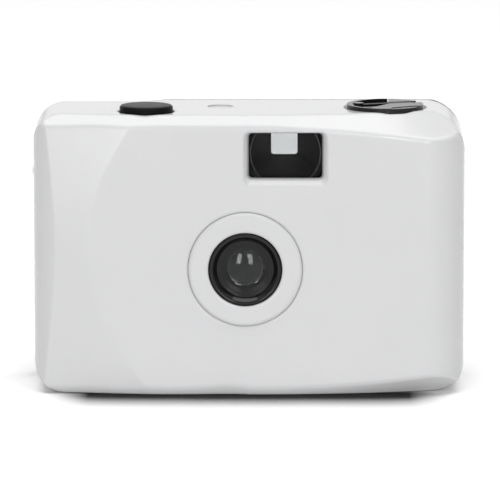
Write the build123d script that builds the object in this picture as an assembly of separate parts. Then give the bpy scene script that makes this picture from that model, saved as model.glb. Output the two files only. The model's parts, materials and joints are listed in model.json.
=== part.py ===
from build123d import *
import os
from math import atan2, cos, degrees, exp, hypot, log, pi, radians, sin, sqrt, tan

# A reusable 35 mm film camera without flash, in millimetres.
# X runs to the viewer's right as the lens faces the viewer, Y runs from the
# front to the back, Z runs up from the flat base. The lens faces -Y.

# Outer size of the housing
body_width = 110.0
deck_height = 72.0
front_y = -19.0
rear_y = 17.9
cover_wall = 1.8
seam_gap = 0.12
inside_gap = 0.2

# Rounded corners of the housing: seen from above, then seen from the front
plan_left_radius = 10.5
plan_right_radius = 10.0
plan_rear_radius = 3.0
top_left_radius = 7.5
top_right_radius = 10.0
base_left_radius = 8.2
base_right_radius = 8.0
edge_round = 1.2
side_trim = 0.02
rear_edge_round = 2.0
frame_drop_left = 1.1
frame_drop_right = 0.35
frame_inset = 0.2
frame_corner = 7.5

# Bevels along the top and bottom front edges, which widen to the right
top_bevel_leg = 2.65
top_bevel_back = 8.25
top_bevel_down = 3.15
top_bevel_power = 1.8
base_bevel_leg = 2.0
base_bevel_back = 5.6
base_bevel_up = 3.0
base_bevel_power = 2.2
bevel_from_right = 10.0
bevel_blend = 0.25

# Finger grip on the left of the front: a large barrel, tilted in plan
grip_from_left = 14.0
grip_below_deck = 33.6
grip_radius = 317.0
grip_slope = 8.0

# Parting between the front cover and the black back
parting_y = 13.8
parting_left_y = 10.0
parting_step_from_left = 25.4
parting_step_length = 9.0

# Lens
lens_x = -0.9
lens_z = 32.8
ring_radius = 14.5
ring_proud = 0.7
ring_thickness = 1.5
ring_step = 3.4
ring_gap = 0.12
bezel_radius = 9.34
bezel_throat = 8.3
bezel_depth = 6.6
bezel_rim = 0.35
bezel_cone_radius = 7.2
bezel_step_radii = (6.8, 6.1, 5.75, 5.4)
bezel_step_depth = 0.3
bezel_cone_back = 1.9
lens_radius = 4.7
lens_setback = 2.6
lens_thickness = 1.8
lens_bulge = 0.7
lens_ledge = 0.6
aperture_radius = 1.1
aperture_thickness = 0.3

# Shutter box behind the lens
shutter_front_y = -12.7
shutter_depth = 3.0
shutter_radius = 10.6
shutter_wall = 0.8
blade_thickness = 0.3
shutter_pivot_dx = -6.2
shutter_pivot_dz = 4.6
pivot_radius = 0.7
tail_dx = 3.9
tail_dz = 1.2
tail_radius = 0.6

# Film and cassette
film_y = 8.6
film_width = 35.0
frame_width = 36.0
frame_height = 24.0
perforation_row = 14.1
perforation_pitch = 4.75
cassette_from_right = 20.2
cassette_y = -1.0
cassette_radius = 13.0
cassette_below = 25.6
cassette_above = 22.4
chamber_wall = 1.3
plate_thickness = 2.2
rail_height = 0.25
rail_plate = 2.4

# Film transport
take_up_from_left = 13.1
take_up_y = 0.5
take_up_radius = 10.3
take_up_drum = 5.0
take_up_flange = 9.7
sprocket_teeth = 8
sprocket_tooth = 1.1
sprocket_band = 3.0
sprocket_waist = 4.6
sprocket_clearance = 1.6
shaft_radius = 1.5
running_gap = 0.05
gear_module = 0.8
thumb_gear_teeth = 13
take_up_gear_teeth = 13
sprocket_gear_teeth = 17
gear_backlash = 0.2
gear_root_share = 1.15
gear_tip_share = 0.9
tooth_base_share = 0.55
tooth_peak_share = 0.62
gear_gap = 0.6
gear_height = 2.0
gear_plate_gap = 0.4
gear_plate_thickness = 0.8
thumbwheel_radius = 10.5
thumbwheel_proud = 1.8
thumbwheel_height = 4.8
thumbwheel_gap = 0.4
thumbwheel_notches = 36
thumb_hub_radius = 2.6
thumb_hub_gap = 0.3
thumb_rim = 1.6
thumb_floor = 1.2
thumb_core_radius = 3.0
thumb_slot_gap = 0.4
thumb_slot_end = 0.7
notch_side = 0.55
axle_radius = 1.2

# Frame counter
counter_from_sprocket = 11.8
counter_y = 5.0
counter_radius = 8.5
counter_teeth = 38
counter_thickness = 1.2
counter_gap = 0.8
counter_window_from_axis = 6.7
counter_window_y = 0.5
counter_window_radius = 3.15
counter_finger_gap = 0.4
counter_post_radius = 1.6
counter_hub_radius = 2.4
counter_hub_height = 1.4
counter_tooth_length = 1.0
counter_flange = 0.8
counter_flange_thickness = 0.6
counter_window_inset = 0.15

# Viewfinder
finder_x = 9.3
finder_width = 18.6
finder_below_deck = 4.5
finder_height = 11.4
finder_side_slope = 1.4
finder_sill_drop = 2.0
finder_setback = 1.8
finder_corner = 1.0
finder_wall = 0.8
finder_lens_radius = 8.8
finder_dish = 0.2
finder_lens_edge = 0.2
finder_lens_groove = 0.15
finder_glass = 1.6
finder_seat_side = 0.8
finder_seat_edge = 0.6
finder_rim_side = 1.5
finder_rim_edge = 1.3
finder_rim_depth = 0.8
finder_dish_rise = 0.6
eyepiece_x = 9.0
eyepiece_width = 7.0
eyepiece_sill = 1.3
eyepiece_height = 6.4
eyepiece_corner = 0.8
eyepiece_recess = 1.0
eyepiece_recess_depth = 0.5

# Shutter button
button_from_left = 28.8
button_y = -9.1
button_radius = 6.8
button_proud = 1.8
button_gap = 0.5
button_travel = 1.4
button_skirt = 1.6
button_stem_radius = 1.6
button_guide_wall = 0.8
button_floor_gap = 0.6
button_floor_thickness = 1.2
button_wall = 1.2
button_roof = 1.4
button_spring_radius = 3.2
button_spring_wire = 0.5
button_spring_turns = 3
button_stem_below_deck = 12.6

# Release slide between the button and the shutter
slide_y = -10.9
slide_thickness = 2.0
slide_width = 2.0
slide_gap = 0.15
slide_head_overhang = 1.0
slide_head_height = 1.4

# Rewind knob and crank
knob_radius = 10.3
knob_flange = 0.4
knob_top = 0.9
knob_recess = 0.45
knob_recess_gap = 0.35
knob_rim = 0.5
knob_hub_radius = 3.2
crank_pivot_dx = 7.2
crank_pivot_dy = 3.9
crank_peg_dx = -6.8
crank_peg_dy = -0.9
crank_width = 2.2
crank_thickness = 0.6
crank_eye_radius = 0.45
crank_gap = 0.25
crank_pin_radius = 0.22
peg_radius = 1.3
peg_stem_radius = 0.55
crescent_width = 1.5
wing_back_x = 1.0
wing_front_x = -5.0
wing_step = 0.12
wing_step_front = (1.5, -7.6)
wing_step_back = (7.3, -3.8)
rewind_shaft_radius = 2.2
fork_depth = 5.6
fork_blade = 1.2
ring_groove = 0.4
ring_groove_height = 0.7
ring_above_plate = 0.6
ring_width = 1.3
ring_mouth = 2.2
shaft_joint_below_deck = 2.2
ear_length = 1.6
ear_thickness = 0.7
wing_back_start = -6.0
wing_front_start = -6.8

# Back door
door_from_right = 3.8
door_z0 = 5.8
door_z1 = 56.6
door_gap = 0.2
door_wall = 1.8
hinge_from_left = 2.4
hinge_y = 15.5
hinge_radius = 2.1
hinge_pin_radius = 0.8
hinge_knuckle_z0 = 14.0
hinge_knuckle_z1 = 48.4
hinge_clearance = 0.5
window_width = 6.0
window_height = 15.0
window_glass = 1.0
pressure_width = 42.0
pressure_height = 37.6
pressure_thickness = 1.2
pressure_gap = 0.1
spring_strip = 0.3
spring_width = 9.0
spring_length = 30.0
seal_thickness = 0.8
seal_depth = 0.8

# Door latch on the right side
latch_z0 = 24.0
latch_z1 = 44.0
latch_travel = 5.0
latch_thickness = 1.4
latch_y0 = 9.6
latch_pad = 7.0
catch_z = 35.0

# Rewind release button in the base
release_radius = 2.6
release_setback = 0.4

# Screws, strap bar
screw_radius = 0.95
screw_head_radius = 1.9
screw_head_height = 1.3
screw_length = 8.0
boss_radius = 2.6
strap_bar_y = 3.0
strap_bar_below_deck = 16.8
strap_bar_length = 7.0
strap_bar_width = 1.1
strap_bar_proud = 0.8
strap_bar_end = 1.2
strap_pocket_depth = 1.1
strap_pocket_height = 5.0

# Shafts, bearings and the plate over the gears
transport_end_gap = 0.3
spool_wall = 1.2
spool_flange_thickness = 1.0
spool_slot_width = 1.4
shaft_foot = 1.4
bearing_depth = 1.5
shaft_overlap = 0.5
sprocket_pin_radius = 1.0
counter_finger_width = 0.8
counter_finger_height = 1.0
plate_end_radius = 3.2
plate_ear_radius = 2.2
plate_post_radius = 1.9
plate_screw_radius = 0.75
plate_screw_head_radius = 1.4
plate_screw_length = 3.6
plate_screw_head_height = 0.3
pawl_from_spool = 6.9

# Walls of the main body and the film rails
light_box_wall = 1.2
light_box_front = 8.0
floor_reach = 2.5
trough_side = 1.7
trough_below_finder = 1.4
trough_wall = 1.5
trough_floor = 1.6
rail_from_frame = 0.8
rail_width = 1.6
guide_gap = 0.15
guide_width = 1.2
rail_end_gap = 0.6
rail_depth = 0.5
screw_hole_gap = 0.15
boss_before_parting = 2.0
band_inset = 10.0
knuckle_reach = 3.2
latch_slot_gap = 0.3

# Details of the back door
door_edge_round = 0.6
panel_left = 8.0
panel_right = 5.0
panel_edge = 4.0
panel_groove = 0.8
panel_groove_depth = 0.35
rib_inset = 0.4
rib_thickness = 1.0
rib_depth = 1.6
rib_left = 6.0
window_corner = 1.2
window_lip = 1.0
window_pane_gap = 0.05
window_seal_width = 3.0
window_seal_gap = 0.2
window_seal_thickness = 1.2
catch_inset = 0.6
catch_thickness = 1.2
catch_arm = 3.8
catch_hook = 1.3
catch_half_height = 1.5
catch_hook_drop = 6.5
spring_seat_depth = 0.8
spring_seat_half = 1.6
spring_seat_edge = 0.6

# Cover screws: how far in from the side, and above the base or below the deck
base_screw_inset = 8.0
base_screw_height = 3.5
left_screw_inset = 6.0
left_screw_below_deck = 8.5
right_screw_inset = 9.0
right_screw_below_deck = 6.5

# Sizes worked out from the driving ones
half = body_width / 2
bevel_reach = half - bevel_from_right
grip_x = grip_from_left - half
grip_z = deck_height - grip_below_deck
parting_step_x0 = parting_step_from_left - half
parting_step_x1 = parting_step_x0 + parting_step_length
cassette_x = half - cassette_from_right
take_up_x = take_up_from_left - half
button_x = button_from_left - half
hinge_x = hinge_from_left - half
door_x1 = half - door_from_right
finder_z1 = deck_height - finder_below_deck
finder_z0 = finder_z1 - finder_height
eyepiece_z0 = finder_z0 + eyepiece_sill
button_stem_end = deck_height - button_stem_below_deck
strap_bar_z = deck_height - strap_bar_below_deck
parting_reach = body_width
inner_deck_z = deck_height - cover_wall
inner_front_y = front_y + cover_wall
chamber_z0 = lens_z - cassette_below
chamber_z1 = lens_z + cassette_above
floor_z = chamber_z0 - plate_thickness
top_plate_z = chamber_z1 + plate_thickness
rear_inner_y = rear_y - door_wall
sprocket_radius = sprocket_teeth * perforation_pitch / (2 * pi)
sprocket_pocket = sprocket_radius + sprocket_clearance
gear_z = top_plate_z + gear_gap
gear_plate_z = gear_z + gear_height + gear_plate_gap
thumbwheel_z = gear_plate_z + gear_plate_thickness + thumbwheel_gap
bezel_back_y = front_y - ring_proud + bezel_depth
eyepiece_z1 = eyepiece_z0 + eyepiece_height
shutter_back_y = shutter_front_y + shutter_depth
button_floor_z = inner_deck_z - button_skirt - button_travel - button_floor_gap
button_spring_z0 = button_floor_z + 0.05
shaft_joint_z = inner_deck_z - shaft_joint_below_deck
ring_groove_z = top_plate_z + ring_above_plate
boss_back_y = parting_left_y - boss_before_parting
latch_spring_z0 = chamber_z0 + 8.0
sprocket_y = film_y - sprocket_radius


def gear_distance(teeth_a, teeth_b):
    """Centre distance of two meshed gears, opened by the backlash."""
    return gear_module * (teeth_a + teeth_b) / 2 + gear_backlash / 2


# The thumbwheel stands out of the back, and meshes with the take-up gear
thumb_y = rear_y + thumbwheel_proud - thumbwheel_radius
take_up_mesh = gear_distance(thumb_gear_teeth, take_up_gear_teeth)
thumb_x = take_up_x + sqrt(take_up_mesh**2 - (thumb_y - take_up_y) ** 2)
sprocket_mesh = gear_distance(thumb_gear_teeth, sprocket_gear_teeth)
sprocket_x = thumb_x + sqrt(sprocket_mesh**2 - (thumb_y - sprocket_y) ** 2)
counter_x = sprocket_x + counter_from_sprocket
counter_window_x = counter_x + counter_window_from_axis

# Building helpers: plates, rods and blocks given by where they start and end


def block(x0, x1, y0, y1, z0, z1):
    return Pos((x0 + x1) / 2, (y0 + y1) / 2, (z0 + z1) / 2) * Box(x1 - x0, y1 - y0, z1 - z0)


def rod_z(x, y, radius, z0, z1):
    return Pos(x, y, (z0 + z1) / 2) * Cylinder(radius, z1 - z0)


def rod_y(x, z, radius, y0, y1):
    return Pos(x, (y0 + y1) / 2, z) * Rot(90, 0, 0) * Cylinder(radius, y1 - y0)


def rod_x(y, z, radius, x0, x1):
    return Pos((x0 + x1) / 2, y, z) * Rot(0, 90, 0) * Cylinder(radius, x1 - x0)


def tube_z(x, y, outer, inner, z0, z1):
    return rod_z(x, y, outer, z0, z1) - rod_z(x, y, inner, z0 - 1, z1 + 1)


def plate_z(sketch, z0, z1):
    """A plan outline made into a plate from z0 to z1."""
    return Pos(0, 0, z0) * extrude(sketch, z1 - z0)


def plate_y(sketch, y0, y1):
    """An outline seen from the front, x to the right and z up, made into a plate."""
    facing = Plane((0, y1, 0), x_dir=(1, 0, 0), z_dir=(0, -1, 0))
    return extrude(facing * sketch, y1 - y0)


def plate_x(sketch, x0, x1):
    """An outline in y and z made into a plate from x0 to x1."""
    facing = Plane((x0, 0, 0), x_dir=(0, 1, 0), z_dir=(1, 0, 0))
    return extrude(facing * sketch, x1 - x0)


def outline(points, radii=0):
    """A closed outline with its corners rounded."""
    corners = radii if isinstance(radii, (list, tuple)) else [radii] * len(points)
    return make_face(FilletPolyline(*points, radius=corners, close=True))


def rounded_slot(x0, x1, z0, z1, radius):
    """A rounded rectangle given by its sides."""
    shape = RectangleRounded(x1 - x0, z1 - z0, radius)
    return Pos((x0 + x1) / 2, (z0 + z1) / 2) * shape


def turned(profile, x, y, z):
    """A profile of radius and height turned round an upright axis."""
    facing = Plane((x, y, z), x_dir=(1, 0, 0), z_dir=(0, -1, 0))
    return revolve(facing * outline(profile), Axis((x, y, z), (0, 0, 1)), 360)


def turned_y(profile, x, z):
    """A profile of radius and y turned round an axis along Y."""
    facing = Plane((x, 0, z), x_dir=(1, 0, 0), z_dir=(0, 0, 1))
    return revolve(facing * outline(profile), Axis((x, 0, z), (0, 1, 0)), 360)


# Outer form of the housing, drawn in by an inset for its inside


def grip_setback(x, z):
    """How far the grip lies behind the flat front at one place, blended in softly."""
    tilt = radians(grip_slope)
    setback = (z - grip_z) ** 2 / (2 * grip_radius * cos(tilt)) - (x - grip_x) * tan(tilt)
    return bevel_blend * log(1 + exp(setback / bevel_blend))


def corner_bevel(x, inset, top):
    """The triangle that the front edge loses at one place along its length."""
    leg = top_bevel_leg if top else base_bevel_leg
    growth = (max(x, 0.0) / bevel_reach) ** (top_bevel_power if top else base_bevel_power)
    back = leg + (top_bevel_back if top else base_bevel_back) * growth
    down = leg + (top_bevel_down if top else base_bevel_up) * growth
    inward = -1 if top else 1
    edge_y = front_y + inset + grip_setback(x, (deck_height if top else 0) + inward * down)
    edge_z = deck_height - inset if top else inset
    share = 1 + inset * (hypot(1 / back, 1 / down) - 1 / back - 1 / down)
    back, down = back * share, down * share
    spare = 4.0 / hypot(back, down)
    points = (
        (edge_y + back * (1 + spare), edge_z - inward * down * spare),
        (edge_y - back * spare, edge_z + inward * down * (1 + spare)),
        (edge_y - 8.0, edge_z - inward * 8.0),
    )
    facing = Plane((x, 0, 0), x_dir=(0, 1, 0), z_dir=(1, 0, 0))
    return make_face(facing * Polyline(*points, close=True))


def housing_form(inset, back_y):
    """The whole outer form, a hair too wide so that its sides can be trimmed flat."""
    x1, y0 = half + side_trim - inset, front_y + inset
    z0, z1 = inset, deck_height - inset
    plan = outline(
        [(-x1, y0), (x1, y0), (x1, back_y), (-x1, back_y)],
        [
            plan_left_radius - inset,
            plan_right_radius - inset,
            max(plan_rear_radius - inset, 0.5),
            max(plan_rear_radius - inset, 0.5),
        ],
    )
    front = outline(
        [(-x1, z0), (x1, z0), (x1, z1), (-x1, z1)],
        [
            base_left_radius - inset,
            base_right_radius - inset,
            top_right_radius - inset,
            top_left_radius - inset,
        ],
    )
    form = plate_z(plan, z0, z1) & plate_y(front, y0 - 1, back_y + 1)
    left = [-half * share for share in (0, 0.3, 0.45, 0.6, 0.8)] + [-half - 3]
    right = [half * share for share in (0, 0.25, 0.5, 0.75)] + [half + 3]
    for top in (True, False):
        for sections in (left, right):
            form -= loft([corner_bevel(x, inset, top) for x in sections])
    tilt = radians(grip_slope)
    centre_x = grip_x + grip_radius * sin(tilt)
    centre_y = front_y + grip_radius * cos(tilt)
    facing = Plane((centre_x, centre_y, grip_z), z_dir=(cos(tilt), -sin(tilt), 0))
    return form & (facing * Cylinder(grip_radius - inset, 4 * body_width))


def soft_edge(edge):
    """Whether an edge of the form is one of the rounded edges of the front and its bevels."""
    middle = edge.center()
    upright = abs((edge @ 0).Z - (edge @ 1).Z) > deck_height / 2.5
    smooth_joint = abs(middle.X) < 0.1
    side_crease = middle.X > half - 3.0 and deck_height / 2 < middle.Z < deck_height - 3.0
    return middle.Y < -6 and not (upright or smooth_joint or side_crease)


def trimmed(form):
    """The form with its sides cut flat, which ends the rounded edges cleanly."""
    return form & block(-half, half, -body_width, body_width, -body_width, body_width)


def parting_region(gap):
    """Plan outline of everything behind the parting line."""
    far = parting_reach
    points = [
        (-far, parting_left_y + gap),
        (parting_step_x0, parting_left_y + gap),
        (parting_step_x1, parting_y + gap),
        (far, parting_y + gap),
        (far, far),
        (-far, far),
    ]
    return plate_z(make_face(Polyline(*points, close=True)), -5, deck_height + 5)


# Screw places: cover screws run from the back into the front cover's bosses
cover_screw_places = [
    (-half + base_screw_inset, base_screw_height),
    (half - base_screw_inset, base_screw_height),
    (-half + left_screw_inset, deck_height - left_screw_below_deck),
    (half - right_screw_inset, deck_height - right_screw_below_deck),
]


def front_cover():
    form = housing_form(0, rear_y)
    form = trimmed(fillet([edge for edge in form.edges() if soft_edge(edge)], edge_round))
    shell = form - housing_form(cover_wall, rear_y + cover_wall)
    shell -= parting_region(0)
    inner = housing_form(cover_wall / 2, rear_y)
    for x, z in cover_screw_places:
        boss = rod_y(x, z, boss_radius, boss_back_y - screw_length - 1, boss_back_y)
        web = block(x - 0.5, x + 0.5, front_y, boss_back_y, z - 0.5, z + 0.5)
        toward = deck_height if z > lens_z else 0
        rib = block(x - 0.6, x + 0.6, boss_back_y - screw_length, boss_back_y, min(z, toward), max(z, toward))
        shell += (boss + web + rib) & inner
        shell -= rod_y(x, z, screw_radius, boss_back_y - screw_length, boss_back_y + 1)
    # Seat and hole for the lens ring
    shell -= rod_y(lens_x, lens_z, ring_radius + ring_gap, front_y - 1, front_y + ring_thickness - ring_proud)
    shell -= rod_y(lens_x, lens_z, ring_radius - ring_step + ring_gap, front_y - 1, inner_front_y + 1)
    # Viewfinder opening: sloped sides and sill, then a straight throat
    x0, x1 = finder_x - finder_width / 2, finder_x + finder_width / 2
    wide = outline(
        [
            (x0 - finder_side_slope, finder_z0 - finder_sill_drop),
            (x1 + finder_side_slope, finder_z0 - finder_sill_drop),
            (x1 + finder_side_slope, finder_z1 + 0.4),
            (x0 - finder_side_slope, finder_z1 + 0.4),
        ],
        1.6,
    )
    narrow = outline([(x0, finder_z0), (x1, finder_z0), (x1, finder_z1), (x0, finder_z1)], finder_corner)
    near = Plane((0, front_y - 0.01, 0), x_dir=(1, 0, 0), z_dir=(0, -1, 0))
    deep = Plane((0, front_y + finder_setback + 0.01, 0), x_dir=(1, 0, 0), z_dir=(0, -1, 0))
    shell -= loft([near * wide, deep * narrow])
    # Openings in the deck: button, rewind knob, frame counter
    shell -= rod_z(button_x, button_y, button_radius + button_gap, inner_deck_z - 1, deck_height + 3)
    well = knob_radius + knob_recess_gap
    shell -= rod_z(cassette_x, cassette_y, well, deck_height - knob_recess, deck_height + 3)
    shell -= rod_z(cassette_x, cassette_y, knob_hub_radius + knob_recess_gap, inner_deck_z - 1, deck_height)
    shell -= rod_z(counter_window_x, counter_window_y, counter_window_radius + running_gap, inner_deck_z - 1,
                   deck_height + 3)
    # Guide under the shutter button
    guide = tube_z(
        button_x,
        button_y,
        button_radius + button_gap + button_guide_wall,
        button_radius + button_gap,
        button_floor_z,
        inner_deck_z + 0.2,
    )
    floor = tube_z(
        button_x,
        button_y,
        button_radius + button_gap + button_guide_wall,
        button_stem_radius + running_gap,
        button_floor_z - button_floor_thickness,
        button_floor_z,
    )
    shell += (guide + floor) & housing_form(cover_wall / 2, rear_y)
    # Boss that guides the rewind shaft under the deck
    shell += tube_z(
        cassette_x,
        cassette_y,
        knob_hub_radius + knob_recess_gap + 1.2,
        knob_hub_radius + knob_recess_gap,
        inner_deck_z - 1.6,
        inner_deck_z + 0.2,
    )
    # Pocket and ends of the strap bar
    y0, y1 = strap_bar_y - strap_bar_length / 2, strap_bar_y + strap_bar_length / 2
    mid_z = strap_bar_z
    pocket = rounded_slot(y0 + strap_bar_end, y1 - strap_bar_end, mid_z - strap_pocket_height / 2,
                          mid_z + strap_pocket_height / 2, 1.0)
    shell -= plate_x(pocket, -half - 1, -half + strap_pocket_depth)
    for y in (y0, y1 - strap_bar_end):
        shell -= block(-half - 1, -half + strap_pocket_depth, y, y + strap_bar_end,
                       mid_z - strap_bar_width / 2, mid_z + strap_bar_width / 2)
    # Hole for the rewind release button
    shell -= rod_z(sprocket_x, sprocket_y, release_radius + running_gap, -1, cover_wall + 1)
    return shell


def lens_ring():
    """White trim ring round the lens: a flat face with a rounded rim and a spigot."""
    y0 = front_y - ring_proud
    y1 = y0 + ring_thickness
    inner = bezel_radius + ring_gap
    spigot = ring_radius - ring_step
    profile = [
        (inner, y0),
        (ring_radius - 0.5, y0),
        (ring_radius, y0 + 0.5),
        (ring_radius, y1),
        (spigot, y1),
        (spigot, inner_front_y + 0.8),
        (inner, inner_front_y + 0.8),
    ]
    return turned_y(profile, lens_x, lens_z)


def lens_bezel():
    """Black stepped funnel that narrows to the lens."""
    y0 = front_y - ring_proud
    seat = front_y + lens_setback
    back = seat + lens_thickness + running_gap
    profile = [
        (bezel_throat, y0 + bezel_rim / 2),
        (bezel_throat + bezel_rim, y0),
        (bezel_radius - bezel_rim, y0),
        (bezel_radius, y0 + bezel_rim),
        (bezel_radius, bezel_back_y),
        (lens_radius - lens_ledge, bezel_back_y),
        (lens_radius - lens_ledge, back),
        (lens_radius + running_gap, back),
    ]
    # Steps from the cone in to the lens
    radius, y = bezel_cone_radius, seat - bezel_cone_back
    steps = [(radius, y)]
    for radius in bezel_step_radii:
        steps += [(radius, y), (radius, y + bezel_step_depth)]
        y += bezel_step_depth
    steps.append((lens_radius + running_gap, y + bezel_step_depth))
    return turned_y(profile + steps[::-1], lens_x, lens_z)


def lens_element():
    """Single convex lens with a flat back."""
    y0 = front_y + lens_setback
    y1 = y0 + lens_thickness
    facing = Plane((lens_x, 0, lens_z), x_dir=(1, 0, 0), z_dir=(0, 0, 1))
    with BuildLine() as line:
        ThreePointArc((0, y0 - lens_bulge), (lens_radius / 2, y0 - lens_bulge * 0.75), (lens_radius, y0))
        Polyline((lens_radius, y0), (lens_radius, y1), (0, y1), (0, y0 - lens_bulge))
    return revolve(facing * make_face(line.line), Axis((lens_x, 0, lens_z), (0, 1, 0)), 360)


def aperture_disc():
    y0 = bezel_back_y
    disc = rod_y(lens_x, lens_z, lens_radius + 1.2, y0, y0 + aperture_thickness)
    return disc - rod_y(lens_x, lens_z, aperture_radius, y0 - 1, y0 + 1)


# Shutter box, blade and spring

shutter_pivot_x = lens_x + shutter_pivot_dx
shutter_pivot_z = lens_z + shutter_pivot_dz


def shutter_housing():
    """Round box that holds the blade between the lens and the film."""
    y0, y1 = shutter_front_y, shutter_back_y
    box = rod_y(lens_x, lens_z, shutter_radius, y0, y1)
    box -= rod_y(lens_x, lens_z, shutter_radius - shutter_wall, y0 + shutter_wall, y1 - shutter_wall)
    box -= rod_y(lens_x, lens_z, 2.6, y0 - 1, y0 + shutter_wall + 0.1)
    box -= rod_y(lens_x, lens_z, 3.4, y1 - shutter_wall - 0.1, y1 + 1)
    # Slot in the rim for the blade's tail
    box -= block(lens_x - shutter_radius - 1, shutter_pivot_x - 0.4, y0 + shutter_wall, y1 - shutter_wall,
                 shutter_pivot_z - 3.4, shutter_pivot_z + 6.5)
    box += rod_y(shutter_pivot_x, shutter_pivot_z, pivot_radius, y0 + shutter_wall / 2, y1 - shutter_wall / 2)
    return box


def shutter_blade():
    """Leaf that covers the aperture at rest and swings on its pivot."""
    mid = (shutter_front_y + shutter_back_y) / 2
    y0, y1 = mid - blade_thickness / 2, mid + blade_thickness / 2
    leaf = Pos(lens_x, lens_z) * Circle(3.0)
    hub = Pos(shutter_pivot_x, shutter_pivot_z) * Circle(1.7)
    tail = Pos(shutter_pivot_x - tail_dx, shutter_pivot_z + tail_dz) * Circle(tail_radius)
    arm = make_hull((Pos(lens_x, lens_z) * Circle(1.6) + hub).edges())
    kick = make_hull((hub + tail).edges())
    blade = plate_y(leaf + arm + kick, y0, y1)
    return blade - rod_y(shutter_pivot_x, shutter_pivot_z, pivot_radius + running_gap, y0 - 1, y1 + 1)


def shutter_spring():
    """Small torsion spring beside the blade's hub."""
    y0 = (shutter_front_y + shutter_back_y) / 2 - blade_thickness / 2 - 0.45
    coil = rod_y(shutter_pivot_x, shutter_pivot_z, 1.5, y0, y0 + 0.35)
    coil -= rod_y(shutter_pivot_x, shutter_pivot_z, 1.0, y0 - 1, y0 + 1)
    leg = block(-2.4, 0.0, y0, y0 + 0.35, 1.05, 1.4)
    return coil + Pos(shutter_pivot_x, 0, shutter_pivot_z) * Rot(0, 20, 0) * leg


def release_slide():
    """Upright slide that carries the button's push down to the blade's tail."""
    y0, y1 = slide_y - slide_thickness / 2, slide_y + slide_thickness / 2
    top = button_stem_end - slide_gap
    arm_z = shutter_pivot_z + tail_dz + tail_radius + 2 * slide_gap
    x0, x1 = button_x - slide_width / 2, button_x + slide_width / 2
    slide = block(x0, x1, y0, y1, arm_z, top)
    slide += block(x0 - slide_head_overhang, x1 + slide_head_overhang, y0,
                   button_y + button_stem_radius, top - slide_head_height, top)
    tip_x = shutter_pivot_x - tail_dx + tail_radius
    arm = block(x0, tip_x, y0, y1, arm_z, arm_z + slide_width)
    corner = arm.edges().filter_by(Axis.Y).group_by(Axis.X)[-1].sort_by(Axis.Z)[-1:]
    slide += fillet(corner, slide_width / 2)
    return slide


# Viewfinder


def finder_frame(grow, y, x, width, z0, z1):
    x0, x1 = x - width / 2 - grow, x + width / 2 + grow
    facing = Plane((0, y, 0), x_dir=(1, 0, 0), z_dir=(0, -1, 0))
    return facing * outline([(x0, z0 - grow), (x1, z0 - grow), (x1, z1 + grow), (x0, z1 + grow)], 0.6)


finder_front_y = front_y + finder_setback + seam_gap


def viewfinder_window():
    """Clear front lens of the finder, with a round dish cut in its face."""
    width = finder_width - 2 * ring_gap + 2 * finder_seat_side
    x0, x1 = finder_x - width / 2, finder_x + width / 2
    z0, z1 = finder_z0 - finder_seat_edge, finder_z1 + finder_seat_edge
    plate = block(x0, x1, finder_front_y, finder_front_y + finder_glass, z0, z1)
    middle_z = (finder_z0 + finder_z1) / 2 + finder_dish_rise
    dish_radius = (finder_lens_radius**2 + finder_dish**2) / (2 * finder_dish)
    centre_y = finder_front_y + finder_dish - dish_radius
    plate -= Pos(finder_x, centre_y, middle_z) * Sphere(dish_radius)
    groove_y = finder_front_y + finder_lens_groove
    groove = rod_y(finder_x, middle_z, finder_lens_radius + finder_lens_edge, front_y, groove_y)
    plate -= groove - rod_y(finder_x, middle_z, finder_lens_radius, front_y, groove_y)
    return plate & housing_form(cover_wall + running_gap, rear_y)


def viewfinder_tunnel():
    """Black tapering tunnel from the front lens to the eyepiece."""
    y0 = finder_front_y + finder_glass
    y1 = rear_inner_y
    wide = (finder_x, finder_width, finder_z0, finder_z1)
    small = (eyepiece_x, eyepiece_width, eyepiece_z0, eyepiece_z1)
    outer = loft([finder_frame(finder_wall, y0, *wide), finder_frame(finder_wall, y1, *small)])
    inner = loft([finder_frame(0, y0 - 0.01, *wide), finder_frame(0, y1 + 0.01, *small)])
    # Frame that holds the front lens
    rim = block(
        finder_x - finder_width / 2 - finder_rim_side,
        finder_x + finder_width / 2 + finder_rim_side,
        finder_front_y,
        y0 + finder_rim_depth,
        finder_z0 - finder_rim_edge,
        finder_z1 + finder_rim_edge,
    )
    width = finder_width - 2 * ring_gap + 2 * finder_seat_side + 2 * running_gap
    seat = block(
        finder_x - width / 2,
        finder_x + width / 2,
        finder_front_y - 1,
        y0,
        finder_z0 - finder_seat_edge - running_gap,
        finder_z1 + finder_seat_edge + running_gap,
    )
    return ((outer + rim) & housing_form(cover_wall + running_gap, rear_y)) - seat - inner


def eyepiece_outline():
    """Outline of the opening in the back that the eye looks through."""
    x0, x1 = eyepiece_x - eyepiece_width / 2, eyepiece_x + eyepiece_width / 2
    corners = [(x0, eyepiece_z0), (x1, eyepiece_z0), (x1, eyepiece_z1), (x0, eyepiece_z1)]
    return outline(corners, eyepiece_corner)


def eyepiece_lens():
    """Small rear lens in the back wall."""
    return plate_y(eyepiece_outline(), rear_inner_y + 0.1, rear_y - 0.6)


# Frame counter


def counter_window():
    """Clear disc set flush in the deck."""
    y = counter_window_y
    z0 = inner_deck_z - counter_flange_thickness
    flange = rod_z(counter_window_x, y, counter_window_radius + counter_flange, z0, inner_deck_z)
    return rod_z(counter_window_x, y, counter_window_radius, z0, deck_height - counter_window_inset) + flange


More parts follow.
